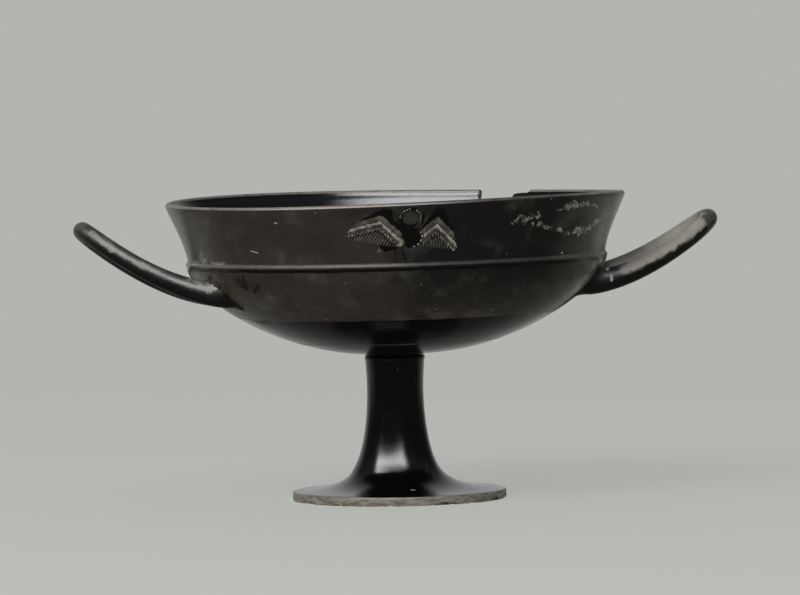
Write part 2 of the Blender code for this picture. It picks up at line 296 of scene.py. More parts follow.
def lean_and_warp(shape):
    """Lean the bowl on its stem and pull the rim out of true, as drying and firing did."""
    pivot = Matrix.Translation((0, 0, BOWL_BOTTOM))
    bmesh.ops.transform(
        shape,
        verts=shape.verts,
        matrix=pivot @ Matrix.Rotation(-BOWL_LEAN, 4, "Y") @ pivot.inverted(),
    )
    for vertex in shape.verts:
        share = (vertex.co.z - LIP_BASE) / LIP_HEIGHT
        if share > 0:
            angle = math.atan2(vertex.co.y, vertex.co.x) + RIM_WARP_TURN
            vertex.co.z -= RIM_WARP * share * math.sin(2 * angle)
    return shape


def foot_shift(height):
    """How far the stem or foot stands to the side at a height."""
    share = (FLARE_HEIGHT - height) / (FLARE_HEIGHT - FOOT_EDGE_HEIGHT)
    return STEM_OFF_CENTRE + FOOT_OFF_CENTRE * min(max(share, 0.0), 1.0)


def shift_foot(shape):
    """Set the stem under the bowl, and slide the foot's disc sideways under the stem."""
    for vertex in shape.verts:
        vertex.co.x += foot_shift(vertex.co.z)
    return shape


def bowl_radius_at(height):
    """The bowl's outer radius at a height between the neck and the ledge."""
    outline = bowl_outline()
    for (upper_radius, upper), (lower_radius, lower) in zip(outline, outline[1:]):
        if height >= lower:
            return lower_radius + (upper_radius - lower_radius) * (height - lower) / (upper - lower)
    return NECK_RADIUS


def handle_path(side):
    """Points and thicknesses along the loop handle of one side, +1 right or -1 left."""
    root_height = LIP_BASE - HANDLE_ROOT_DROP + side * HANDLE_UNEVENNESS
    tip_height = LIP_BASE - HANDLE_ROOT_DROP + HANDLE_RISE
    half_root = HANDLE_ROOT_SPACING / 2
    wall_x = math.sqrt(bowl_radius_at(root_height) ** 2 - half_root ** 2)
    tip_x = (HANDLE_SPAN - HANDLE_THICKNESS) / 2
    buried = (wall_x - HANDLE_ROOT_THICKNESS, half_root)
    half = curve_between(buried, (tip_x, 0), HANDLE_PLAN_CURVE, HANDLE_RINGS // 2)
    loop = half + [(x, -y) for x, y in reversed(half[:-1])]
    path = []
    for x, y in loop:
        share = max(0.0, (x - wall_x) / (tip_x - wall_x))
        height = root_height + (tip_height - root_height) * share ** HANDLE_RISE_POWER
        height -= HANDLE_TWIST * y / HANDLE_ROOT_SPACING
        flare = min(1.0, max(0.0, 1 - (x - wall_x) / HANDLE_ROOT_LENGTH)) ** HANDLE_ROOT_POWER
        thickness = HANDLE_THICKNESS + (HANDLE_ROOT_THICKNESS - HANDLE_THICKNESS) * flare
        path.append((Vector((side * x, y, height)), thickness))
    return path


def handle_shape(side):
    """Draw a round coil of clay out along the handle's path."""
    path = handle_path(side)
    shape = bmesh.new()
    made = bmesh.ops.create_circle(shape, cap_ends=True, segments=HANDLE_SIDES, radius=0.5)
    ring = made["verts"]
    last = len(path) - 1
    before = Matrix.Identity(4)
    for index, (point, thickness) in enumerate(path):
        way = path[min(index + 1, last)][0] - path[max(index - 1, 0)][0]
        turn = way.to_track_quat("Z", "Y").to_matrix().to_4x4()
        there = Matrix.Translation(point) @ turn @ Matrix.Scale(thickness, 4)
        if index:
            edges = [edge for edge in shape.edges if edge.verts[0] in ring and edge.verts[1] in ring]
            drawn = bmesh.ops.extrude_edge_only(shape, edges=edges)
            ring = [item for item in drawn["geom"] if isinstance(item, bmesh.types.BMVert)]
        bmesh.ops.transform(shape, verts=ring, matrix=there @ before.inverted())
        before = there
    bmesh.ops.holes_fill(shape, edges=shape.edges, sides=HANDLE_SIDES)
    return shape


def sherd_shape():
    """The lost sherd's outline as a thick plate that stands across the rim's wall, roughly broken."""
    above = OVERSHOOT + RIM_WARP
    right = -SHERD_WIDTH / 2
    outline = [(SHERD_WIDTH / 2, above)]
    outline += [(along * SHERD_WIDTH, -down * SHERD_DEPTH) for along, down in SHERD_BREAK]
    outline += [(right - along * FLAKE_WIDTH, -down * FLAKE_DEPTH) for along, down in FLAKE_BREAK]
    outline += [(right - FLAKE_WIDTH, above)]
    inner = RIM_RADIUS - SHERD_WIDTH
    plate = bmesh.new()
    corners = [plate.verts.new((inner, along, RIM_HEIGHT + up)) for along, up in outline]
    extruded = bmesh.ops.extrude_face_region(plate, geom=[plate.faces.new(corners)])
    moved = [item for item in extruded["geom"] if isinstance(item, bmesh.types.BMVert)]
    bmesh.ops.translate(plate, verts=moved, vec=(2 * SHERD_WIDTH, 0, 0))
    bmesh.ops.triangulate(plate, faces=plate.faces)
    bmesh.ops.subdivide_edges(plate, edges=plate.edges, cuts=SHERD_CUTS, use_grid_fill=True)
    roughen(plate, *SHERD_ROUGHNESS)
    bmesh.ops.transform(plate, verts=plate.verts, matrix=Matrix.Rotation(SHERD_ANGLE, 4, "Z"))
    return plate


def roughen(shape, depth, grain):
    """Push a broken surface about, by up to depth, in lumps of the grain's size."""
    for vertex in shape.verts:
        vertex.co += depth * noise.noise_vector(vertex.co / grain)


def chip_shape(angle, width):
    """A rough ball that bites a shell-shaped chip out of the foot's lower edge."""
    half = width / 2
    below = (half ** 2 - FOOT_CHIP_HEIGHT ** 2) / (2 * FOOT_CHIP_HEIGHT)
    radius = math.hypot(FOOT_CHIP_STAND_OFF, below, half)
    ball = bmesh.new()
    bmesh.ops.create_icosphere(ball, subdivisions=CHIP_CUTS, radius=radius)
    roughen(ball, *CHIP_ROUGHNESS)
    there = Matrix.Translation((FOOT_RADIUS + FOOT_CHIP_STAND_OFF, 0, -below))
    turn = Matrix.Rotation(math.radians(angle), 4, "Z")
    shift = Matrix.Translation((foot_shift(0), 0, 0))
    bmesh.ops.transform(ball, verts=ball.verts, matrix=shift @ turn @ there)
    return ball


def wear_foot_edge(shape):
    """Nibble the foot's lower edge upwards in small uneven bites, as standing and dragging does."""
    for vertex in shape.verts:
        reach = math.hypot(vertex.co.x - foot_shift(0), vertex.co.y)
        if vertex.co.z < FOOT_WEAR_BELOW and reach > FOOT_RADIUS - FOOT_WEAR_REACH:
            bite = noise.fractal(vertex.co / FOOT_WEAR_GRAIN, *FOOT_WEAR_LUMPS)
            vertex.co.z += FOOT_WEAR_HEIGHT * max(0.0, bite)


def combine(target, operation, other):
    """Join another shape to the target, or cut it out of the target."""
    change = target.modifiers.new(other.name, "BOOLEAN")
    change.operation = operation
    change.solver = "EXACT"
    change.object = other


def raw_cup():
    """Turn and bend the parts, join them, take the hollows and the breaks away, and return one mesh."""
    noise.seed_set(BREAKS_SEED)
    body = [(0, RIM_HEIGHT)] + lip_outline() + bowl_outline() + [(0, BOWL_BOTTOM)]
    cup = place("cup", lean_and_warp(turned(body, CUP_SIDES)), OUTSIDE)
    joined = [place("stem_and_foot", shift_foot(turned(stem_outline(), STEM_SIDES)), OUTSIDE)]
    joined += [place(f"handle_{side}", handle_shape(side), HANDLES) for side in (1, -1)]
    cut = [place("lost_sherd", sherd_shape(), BREAKS)]
    cut += [place("cavity", lean_and_warp(turned(cavity_outline(), CUP_SIDES)), INSIDE)]
    cut += [place("foot_hollow", shift_foot(turned(hollow_outline(), STEM_SIDES)), UNDERSIDE)]
    cut += [place("foot_chip", chip_shape(angle, width), BREAKS) for angle, width in FOOT_CHIPS]
    for other in joined:
        combine(cup, "UNION", other)
    for other in cut:
        combine(cup, "DIFFERENCE", other)
    bpy.context.view_layer.update()
    evaluated = cup.evaluated_get(bpy.context.evaluated_depsgraph_get())
    shape = bmesh.new()
    shape.from_mesh(evaluated.to_mesh())
    for thing in [cup] + joined + cut:
        bpy.data.objects.remove(thing)
    bmesh.ops.remove_doubles(shape, verts=shape.verts, dist=SLIVER)
    bmesh.ops.dissolve_degenerate(shape, edges=shape.edges, dist=SLIVER)
    return shape


def smooth_joins(shape):
    """Draw the clay smooth where each handle was pressed onto the bowl."""
    seam = []
    for edge in shape.edges:
        surfaces = {face.material_index for face in edge.link_faces}
        if HANDLES in surfaces and OUTSIDE in surfaces:
            seam += edge.verts
    tree = kdtree.KDTree(len(seam))
    for index, vertex in enumerate(seam):
        tree.insert(vertex.co, index)
    tree.balance()
    near = []
    for vertex in shape.verts:
        outer = all(face.material_index in (OUTSIDE, HANDLES) for face in vertex.link_faces)
        distance = tree.find(vertex.co)[2]
        if outer and distance is not None and distance < JOIN_REACH:
            near.append(vertex)
    for _ in range(JOIN_PASSES):
        bmesh.ops.smooth_vert(
            shape, verts=near, factor=0.5, use_axis_x=True, use_axis_y=True, use_axis_z=True
        )


def true_place(point):
    """Where a point of the cup would be if it had dried and fired true, upright and centred."""
    if point.z < BOWL_BOTTOM - NECK_RING_DROP / 2 and math.hypot(point.x, point.y) < 1.2 * FOOT_RADIUS:
        return point - Vector((foot_shift(point.z), 0, 0))
    height = point.z
    share = (point.z - LIP_BASE) / LIP_HEIGHT
    if share > 0:
        angle = math.atan2(point.y, point.x) + RIM_WARP_TURN
        height += RIM_WARP * share * math.sin(2 * angle)
    pivot = Vector((0, 0, BOWL_BOTTOM))
    return Matrix.Rotation(BOWL_LEAN, 3, "Y") @ (Vector((point.x, point.y, height)) - pivot) + pivot


def handle_places(shape):
    """For each point: how far along the nearest handle it is, how high on it, and how far off it."""
    spots = []
    for side in (1, -1):
        along = 0
        path = handle_path(side)
        for (before, _), (point, thickness) in zip(path, path[1:]):
            along += (point - before).length
            spots.append((point, thickness / 2, along))
    tree = kdtree.KDTree(len(spots))
    for index, (point, _, _) in enumerate(spots):
        tree.insert(point, index)
    tree.balance()
    places = []
    for vertex in shape.verts:
        _, index, distance = tree.find(vertex.co)
        point, radius, along = spots[index]
        places.append((along, (vertex.co.z - point.z) / radius, distance - radius))
    return places


def build_cup():
    """The whole cup as one piece, with its true places and handle places kept on its points."""
    shape = raw_cup()
    wear_foot_edge(shape)
    smooth_joins(shape)
    bmesh.ops.recalc_face_normals(shape, faces=shape.faces)
    places = handle_places(shape)
    mesh = bpy.data.meshes.new("kylix_fired_clay")
    shape.to_mesh(mesh)
    shape.free()
    for material in cup_materials:
        mesh.materials.append(material)
    true_places = mesh.attributes.new("true_place", "FLOAT_VECTOR", "POINT")
    on_handle = mesh.attributes.new("handle_place", "FLOAT_VECTOR", "POINT")
    for index, vertex in enumerate(mesh.vertices):
        true_places.data[index].vector = true_place(vertex.co)
        on_handle.data[index].vector = places[index]
    mesh.shade_smooth()
    mesh.set_sharp_from_angle(angle=SHARP_ANGLE)
    cup = bpy.data.objects.new("kylix_fired_clay", mesh)
    bpy.context.scene.collection.objects.link(cup)
    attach(cup, "root")
    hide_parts("kylix")


# The painter's bands, by height or radius in mm. The ledge and the crown hold pale lines instead: a painted
# highlight on the ledge, wear and a painted highlight on the crown
LINE_UNDER_LIP = (113.9, 115.5)
LEDGE = (115.9, 117.5)
CROWN_ABOVE = 144.5
BLACK_BELOW = 89.9
THIN_LINE_RADII = (48.9, 51.2)
FOOT_EDGE_WIDTH = 0.45
FOOT_TOP_HEIGHT = 8.0
BRUSH_EDGE = 0.12

# Black round the handles' roots: how far out and up, and the slant of its edge beside the right one
ROOT_REACH = 1.4
ROOT_TOP = 105.0
ROOT_SLANT = (-0.4, 80.5)
ROOTS_BELOW = 118.5

# The small bare disc inside: its dot, its circle, its edge, and how high the floor may rise there
DOT_RADIUS = 2.0
CIRCLE_RADII = (14.5, 15.3)
DISC_RADIUS = 18.0
DISC_BELOW = 84.0

# The bird on each side of the lip: mm across and up from its middle
BIRD_ANGLE = math.radians(-94.7)
BIRD_RADIUS = 105.0
BIRD_HEIGHT = 130.0
LEFT_WING_EDGE = (
    ((-20.6, 8.6), (-9.6, 13.5), (-8.5, 12.4), (-11.2, 10.2)),
    ((-9.6, 13.5), (-6.6, 12.6), (-6.0, 5.8), (-9.0, 7.2), (-11.2, 10.2)),
    ((-9.0, 8.2), (-5.2, 7.2), (0.6, 4.2), (1.0, -0.5), (-4.6, 2.6)),
)
LEFT_WING = (
    (-28.8, 2.0), (-21.2, 8.2), (-11.2, 12.0), (-7.0, 7.6),
    (-0.6, 0.8), (-2.2, -3.0), (-4.8, -5.2), (-27.0, -0.6),
)
LEFT_BENDS = ((-21.6, 7.9), (-11.2, 10.2), (-1.0, 0.2))
RIGHT_WING_EDGE = (
    ((6.6, 3.2), (13.0, 12.2), (14.6, 12.9), (14.2, 8.6)),
    ((14.6, 12.9), (16.4, 12.2), (18.9, 8.0), (20.8, 3.0), (21.3, 1.8), (14.2, 8.6)),
)
RIGHT_WING = ((6.6, 0.0), (6.9, 3.8), (14.2, 9.6), (21.6, 2.6), (24.4, -6.4), (23.0, -8.0), (8.0, -5.6))
RIGHT_BENDS = ((7.1, 3.2), (14.2, 8.6), (21.3, 1.8))
LEFT_FLOOR = (((-12.0, -0.9), (-30.0, 0.6)), ((-9.0, 4.0), (-2.0, -5.0)))
RIGHT_FLOOR = (((24.6, -7.4), (5.0, -4.4)),)
LEFT_STROKES = (-0.62, -0.78)
RIGHT_STROKES = (0.14, -0.99)
TAIL = ((-12.9, -4.6), (-11.4, -2.6), (-3.4, -2.0), (-3.6, -5.6), (-10.6, -7.2))
TAIL_TIP = ((-14.7, -7.6), (-13.2, -4.9), (-11.9, -7.2))
LEGS = (
    ((-6.0, -4.5), (-5.0, -4.5), (-5.3, -12.2), (-6.1, -12.2)),
    ((-3.6, -4.5), (-2.4, -4.5), (0.3, -12.2), (-0.5, -12.2)),
    ((-7.6, -11.5), (-4.9, -11.5), (-5.0, -12.2), (-7.6, -12.2)),
    ((-1.4, -11.5), (1.3, -11.5), (1.4, -12.2), (-1.4, -12.2)),
)
BEAK = ((6.3, 7.2), (7.9, 7.6), (7.1, 4.4))
COLLAR_WIDTH = 1.5
COLLAR_CUT = ((8.5, 8.0), (2.0, 3.2))
HOOK_CUT = ((-4.0, -7.0), (-4.6, 3.0))
HOOK_BANDS = ((0.3, 2.8), (1.1, 2.1))

# Its round parts as ovals: middle, half-lengths and tilt. Then the dots along their edges: how far in,
# how many in a full turn, and from which angle to which
CURL = ((-3.9, -2.4), (2.8, 3.6), 0.6)
BODY = ((2.6, -0.9), (5.4, 4.8), 0.35)
NECK = ((1.8, 8.5), (5.5, 4.8), 0.0)
HEAD = ((6.9, 8.4), (1.2, 1.9), -0.3)
BODY_DOTS = (0.7, 13, -1.9, 0.5)
NECK_DOTS = ((0.7, 24, 1.6, 3.1), (0.7, 24, -0.6, 1.0))

# Across the wings, in mm from their leading edge: grey and white bars, a short hem and long feathers
GREY_BARS = ((0.1, 2.1), (4.3, 5.0))
WHITE_BAR = (2.5, 3.9)
HEM = (5.3, 5.9)
HEM_STROKES = (1.3, 0.75)
FEATHERS = (5.6, 16.0)
FEATHER_STROKES = (1.25, 0.5)
WING_GROUND = (-1.0, 7.4)

# The palmettes beside the handles: mm from the heart of the fan, at an angle from the handle's middle
PALMETTE_ANGLE = math.radians(36.0)
PALMETTE_RADIUS = 97.0
PALMETTE_HEIGHT = 102.8
PALMETTE_LEAVES = (132, 116, 102, 86, 30)
LEAF_REACH = 6.6
LEAF_HALF = (3.9, 1.0)
TENDRIL = ((-24.6, 5.4), (3.0, 4.4), 0.5)
TENDRIL_WIDTH = 0.8
BUD = ((-22.6, -4.2), (3.4, 1.5), -0.3)

# Where lime and scratches are left by the ground: angle, radius and height at both ends, and width in mm
LIME_MARKS = (
    ((-66.8, 106.0, 133.7), (-64.7, 107.3, 136.7), 0.8),
    ((-62.9, 106.3, 134.8), (-59.3, 107.2, 136.2), 1.4),
    ((-60.2, 105.6, 133.0), (-53.3, 104.5, 130.3), 0.9),
    ((-53.0, 107.6, 137.6), (-50.0, 108.7, 139.9), 0.6),
    ((-50.0, 108.7, 139.9), (-43.0, 109.0, 140.5), 1.4),
    ((-43.0, 109.0, 140.5), (-35.9, 108.4, 139.1), 0.7),
    ((-42.6, 103.6, 128.2), (-37.8, 103.6, 128.4), 1.8),
    ((-37.8, 103.6, 128.4), (-32.7, 104.9, 131.6), 1.1),
    ((-32.7, 104.9, 131.6), (-25.5, 106.8, 135.8), 1.3),
    ((-50.5, 104.1, 129.7), (-45.1, 102.9, 126.5), 0.7),
    ((-178.0, 100.8, 122.0), (-176.0, 100.4, 115.0), 1.6),
    ((-176.0, 99.4, 112.0), (-161.6, 103.8, 108.6), 2.0),
    ((-172.0, 100.4, 116.2), (-163.0, 100.7, 118.6), 1.4),
    ((-163.0, 101.2, 122.0), (-161.0, 100.7, 118.0), 0.8),
    ((-158.0, 100.7, 118.4), (-151.0, 100.6, 117.2), 0.8),
    ((-163.6, 106.5, 109.6), (-159.6, 101.4, 106.0), 2.4),
)
LIME_GRAIN = 1.2

# Painted highlights: pale streaks along the left handle's top, and clay painted lighter beside the right one,
# in the same way
HANDLE_PAINTED_HIGHLIGHTS = (
    ((-173.9, 148.5, 133.6), (-170.4, 141.0, 125.4), 1.5),
    ((-169.2, 136.6, 122.8), (-168.2, 132.6, 120.0), 0.7),
    ((-168.0, 131.6, 119.4), (-165.6, 122.5, 114.6), 1.0),
)
# A painted highlight: clay painted lighter beside the right handle's root
CLAY_PAINTED_LIGHTER = (((-29.0, 90.0, 98.0), (-28.2, 99.6, 110.5), 3.4),)

# Where the handles are paler on top, rubbed on the left one, rubbed and painted pale as a sheen on the right
# one: how high on their round, and between which radii in mm on the right one
RUBBED_AND_LIT_HEIGHT = (0.78, 1.22)
RUBBED_AND_LIT_FROM = (115.0, 122.0)
RUBBED_AND_LIT_TO = (155.0, 157.5)

# Specks of lime all over, one in each so many mm, and small chips in the gloss, given as the marks are. One
# of them, on the foot's top, is a painted highlight
SPECK_SPACING = 7.0
SPECK_RADIUS = 0.4
CHIPS_AND_GLINT = (
    ((-18.6, 102.4, 109.2), (-19.0, 102.4, 107.6), 1.0),
    ((-20.0, 104.7, 105.2), (-20.2, 104.9, 103.4), 0.8),
    # A painted highlight: a small glint on the foot's top, not a chip
    ((-87.3, 34.9, 6.5), (-85.8, 34.9, 6.5), 0.8),
    ((-139.3, 102.1, 124.4), (-137.0, 102.0, 123.4), 0.25),
    ((-128.9, 107.8, 138.2), (-128.4, 107.8, 138.0), 0.35),
    ((-69.0, 102.2, 121.5), (-68.6, 102.2, 121.4), 0.4),
    ((-112.0, 99.0, 108.4), (-111.4, 99.0, 108.2), 0.4),
    ((-47.0, 100.8, 118.6), (-46.6, 100.8, 118.4), 0.35),
)


def linear(hex_colour):
    """Turn an sRGB hex colour into the linear colour that the shaders take."""
    parts = [int(hex_colour[start : start + 2], 16) / 255 for start in (1, 3, 5)]
    parts = [((part + 0.055) / 1.055) ** 2.4 if part > 0.04045 else part / 12.92 for part in parts]
    return (*parts, 1)


def add(tree, kind, feeds=(), out=0, **settings):
    """Add a node with its settings, feed its inputs with links or values, and return one output.

    A kind in capitals is an operation of the Math node.
    """
    if kind.isupper():
        kind, settings["operation"] = "Math", kind
    node = tree.nodes.new("ShaderNode" + kind)
    for name, value in settings.items():
        setattr(node, name, value)
    pairs = feeds.items() if isinstance(feeds, dict) else enumerate(feeds)
    for key, value in pairs:
        if isinstance(value, bpy.types.NodeSocket):
            tree.links.new(value, node.inputs[key])
        elif value is not None:
            node.inputs[key].default_value = value
    return node.outputs[out]


def cup_places(tree):
    """Where a point was when the cup was still true, in mm, with its angle, radius and height."""
    true = add(tree, "Attribute", out="Vector", attribute_name="true_place")
    spot = add(tree, "VectorMath", {0: true, "Scale": 1 / MM}, operation="SCALE")
    parts = add(tree, "SeparateXYZ", (spot,)).node.outputs
    angle = add(tree, "ARCTAN2", (parts["Y"], parts["X"]))
    flat = add(tree, "VectorMath", (spot, (1, 1, 0)), operation="MULTIPLY")
    radius = add(tree, "VectorMath", (flat,), out="Value", operation="LENGTH")
    return spot, angle, radius, parts["Z"]


def cloudy(tree, spot, size, low, high, detail=4.0, upright=1.0):
    """Patches of a size in mm that come up where a noise passes from low to high, squashed by upright."""
    seen = add(tree, "VectorMath", (spot, (1, 1, upright)), operation="MULTIPLY")
    cloud = add(tree, "TexNoise", {"Vector": seen, "Scale": 1 / size, "Detail": detail, "Roughness": 0.6})
    return add(tree, "MapRange", (cloud, low, high), interpolation_type="SMOOTHSTEP")


def together(tree, areas, operation="MAXIMUM"):
    """Take areas together: all that any of them covers, or with MINIMUM only what every one covers."""
    whole = areas[0]
    for area in areas[1:]:
        whole = add(tree, operation, (whole, area))
    return whole


def brushed(tree, areas, edge=BRUSH_EDGE):
    """Paint areas, given how far inside them a place lies, with an edge that is soft over twice its width."""
    inside = together(tree, areas)
    return add(tree, "MapRange", (inside, -edge, edge), interpolation_type="SMOOTHSTEP")


def stripe(tree, value, low, high):
    """How far inside a stripe a place lies, by a value that runs across it."""
    off = add(tree, "SUBTRACT", (value, (low + high) / 2))
    away = add(tree, "ABSOLUTE", (off,))
    return add(tree, "SUBTRACT", ((high - low) / 2, away))


def kept_from(tree, area, other):
    """What is left of a painted area where another is painted over it."""
    clear = add(tree, "SUBTRACT", (1.0, other))
    return add(tree, "MULTIPLY", (area, clear))


def right_of(tree, place, start, end):
    """How far a place lies to the right of the line from start to end. The place's z is 1."""
    along = (Vector(end) - Vector(start)).normalized()
    offset = along.x * start[1] - along.y * start[0]
    return add(tree, "VectorMath", (place, (along.y, -along.x, offset)), out="Value", operation="DOT_PRODUCT")


def within(tree, place, corners):
    """How far a place lies inside an outline whose corners run clockwise."""
    sides = zip(corners, corners[1:] + corners[:1])
    return together(tree, [right_of(tree, place, start, end) for start, end in sides], "MINIMUM")


def oval(tree, place, centre, halves, tilt):
    """A place's way out from an oval's middle, as a share of the way to its edge, and its depth inside."""
    cos, sin = math.cos(tilt), math.sin(tilt)
    across = (cos / halves[0], sin / halves[0], -(cos * centre[0] + sin * centre[1]) / halves[0])
    up = (-sin / halves[1], cos / halves[1], (sin * centre[0] - cos * centre[1]) / halves[1])
    along, aside = (
        add(tree, "VectorMath", (place, row), out="Value", operation="DOT_PRODUCT") for row in (across, up)
    )
    way = add(tree, "CombineXYZ", (along, aside))
    share = add(tree, "VectorMath", (way,), out="Value", operation="LENGTH")
    return way, add(tree, "MULTIPLY_ADD", (share, -min(halves), min(halves)))


def strokes(tree, place, way, spacing, width):
    """How far inside one of many parallel strokes a place lies, for strokes that run along a way."""
    along = Vector(way).normalized()
    row = (along.y / spacing, -along.x / spacing, 0)
    count = add(tree, "VectorMath", (place, row), out="Value", operation="DOT_PRODUCT")
    part = add(tree, "FRACT", (count,))
    return stripe(tree, add(tree, "MULTIPLY", (part, spacing)), 0.0, width)


def dots_round(tree, shape, inset, count, first, last):
    """Small dots inside an oval's edge, from a first to a last angle round it."""
    way, inside = shape
    parts = add(tree, "SeparateXYZ", (way,)).node.outputs
    angle = add(tree, "ARCTAN2", (parts["Y"], parts["X"]))
    turns = add(tree, "MULTIPLY", (angle, count / math.tau))
    beat = add(tree, "FRACT", (turns,))
    row = stripe(tree, inside, inset - 0.3, inset + 0.3)
    span = stripe(tree, angle, first, last)
    return together(tree, [row, span, stripe(tree, beat, 0.25, 0.75)], "MINIMUM")


def wing(tree, place, edges, outline, bends, way, floor):
    """A spread wing: a black leading edge, grey and white bars that bend at the wrist, then long feathers."""
    depth = [right_of(tree, place, start, end) for start, end in zip(bends, bends[1:])]
    depth = together(tree, depth, "MINIMUM")
    whole = within(tree, place, outline)
    floor = together(tree, [right_of(tree, place, *line) for line in floor])
    grey = [together(tree, [stripe(tree, depth, *bar), whole], "MINIMUM") for bar in GREY_BARS]
    white = together(tree, [stripe(tree, depth, *WHITE_BAR), whole], "MINIMUM")
    hem = [strokes(tree, place, (0, 1), *HEM_STROKES), stripe(tree, depth, *HEM), whole]
    hem = together(tree, hem, "MINIMUM")
    feathers = [strokes(tree, place, way, *FEATHER_STROKES), stripe(tree, depth, *FEATHERS), floor, whole]
    feathers = together(tree, feathers, "MINIMUM")
    ground = together(tree, [whole, stripe(tree, depth, *WING_GROUND), floor], "MINIMUM")
    black = [within(tree, place, edge) for edge in edges] + [ground]
    return black, grey + [feathers], [white, hem]


def half_turns(tree, angle, middle):
    """The angle from a middle, or from the point across the cup, in half turns from -0.5 to 0.5."""
    turns = add(tree, "MULTIPLY_ADD", (angle, 1 / math.pi, 0.5 - middle / math.pi))
    return add(tree, "SUBTRACT", (add(tree, "FRACT", (turns,)), 0.5))


def freehand(tree, across, up, scale, sway):
    """A place in a painting, moved a little as a hand wavers, by up to half the sway in mm."""
    place = add(tree, "CombineXYZ", (across, up, 1.0))
    hand = add(tree, "TexNoise", {"Vector": place, "Scale": scale, "Detail": 1.0}, out="Color")
    hand = add(tree, "VectorMath", (hand, (0.5, 0.5, 0.5)), operation="SUBTRACT")
    return add(tree, "VectorMath", (hand, (sway, sway, 0.0), place), operation="MULTIPLY_ADD")


def painted_bird(tree, angle, height):
    """A bird with spread wings and a bent neck, as many such cups have it: its black, grey and white."""
    across = add(tree, "MULTIPLY", (half_turns(tree, angle, BIRD_ANGLE), math.pi * BIRD_RADIUS))
    up = add(tree, "SUBTRACT", (height, BIRD_HEIGHT))
    place = freehand(tree, across, up, 0.6, 0.9)

    worn = add(tree, "MULTIPLY_ADD", (cloudy(tree, place, 2.4, 0.38, 0.62), 0.6, 0.4))
    left = wing(tree, place, LEFT_WING_EDGE, LEFT_WING, LEFT_BENDS, LEFT_STROKES, LEFT_FLOOR)
    right = wing(tree, place, RIGHT_WING_EDGE, RIGHT_WING, RIGHT_BENDS, RIGHT_STROKES, RIGHT_FLOOR)
    curl, body, neck, head = (oval(tree, place, *shape) for shape in (CURL, BODY, NECK, HEAD))
    collar = [stripe(tree, neck[1], 0.0, COLLAR_WIDTH), right_of(tree, place, *COLLAR_CUT)]
    collar = together(tree, collar, "MINIMUM")
    front = [curl[1], body[1], collar, head[1]] + [within(tree, place, shape) for shape in (BEAK, TAIL)]
    whites = [dots_round(tree, body, *BODY_DOTS)] + [dots_round(tree, neck, *dots) for dots in NECK_DOTS]
    over = brushed(tree, [body[1]])
    hook = right_of(tree, place, *HOOK_CUT)
    legs = brushed(tree, [within(tree, place, shape) for shape in LEGS])
    legs = add(tree, "MULTIPLY", (legs, 0.6))
    black = together(tree, [brushed(tree, front + left[0] + right[0]), legs])
    grey = kept_from(tree, brushed(tree, left[1] + right[1] + [within(tree, place, TAIL_TIP)]), over)
    white = kept_from(tree, brushed(tree, left[2] + right[2]), over)
    hooks = [together(tree, [stripe(tree, curl[1], *band), hook], "MINIMUM") for band in HOOK_BANDS]
    grey = together(tree, [grey, brushed(tree, hooks[:1])])
    white = together(tree, [white, brushed(tree, hooks[1:]), brushed(tree, whites, 0.15)])
    grey, white = (add(tree, "MULTIPLY", (area, worn)) for area in (grey, white))
    return black, grey, white


def painted_palmettes(tree, angle, height):
    """A fan of leaves and a curl beside each handle's root, faded as such small work is."""
    aside = from_handles(tree, angle)
    across = add(tree, "MULTIPLY_ADD", (aside, PALMETTE_RADIUS, -PALMETTE_ANGLE * PALMETTE_RADIUS))
    up = add(tree, "SUBTRACT", (height, PALMETTE_HEIGHT))
    place = freehand(tree, across, up, 0.4, 1.6)
    areas = []
    for degrees in PALMETTE_LEAVES:
        tilt = math.radians(degrees)
        middle = (LEAF_REACH * math.cos(tilt), LEAF_REACH * math.sin(tilt))
        areas.append(oval(tree, place, middle, LEAF_HALF, tilt)[1])
    areas.append(stripe(tree, oval(tree, place, *TENDRIL)[1], 0.0, TENDRIL_WIDTH))
    areas.append(oval(tree, place, *BUD)[1])
    return brushed(tree, areas, 0.25)


def on_cup(angle, radius, height):
    """A point in mm from its angle in degrees, radius and height."""
    turn = math.radians(angle)
    return Vector((radius * math.cos(turn), radius * math.sin(turn), height))


def near_lines(tree, spot, lines):
    """How far inside the nearest of some thick lines a place lies, each with its two ends and its width."""
    areas = []
    for start, end, width in lines:
        first, last = on_cup(*start), on_cup(*end)
        line = last - first
        off = add(tree, "VectorMath", (spot, first), operation="SUBTRACT")
        reach = tuple(line / line.length_squared)
        share = add(tree, "VectorMath", (off, reach), out="Value", operation="DOT_PRODUCT")
        share = add(tree, "Clamp", (share,))
        nearest = add(tree, "VectorMath", {0: tuple(line), "Scale": share}, operation="SCALE")
        away = add(tree, "VectorMath", (off, nearest), out="Value", operation="DISTANCE")
        areas.append(add(tree, "SUBTRACT", (width, away)))
    return together(tree, areas)


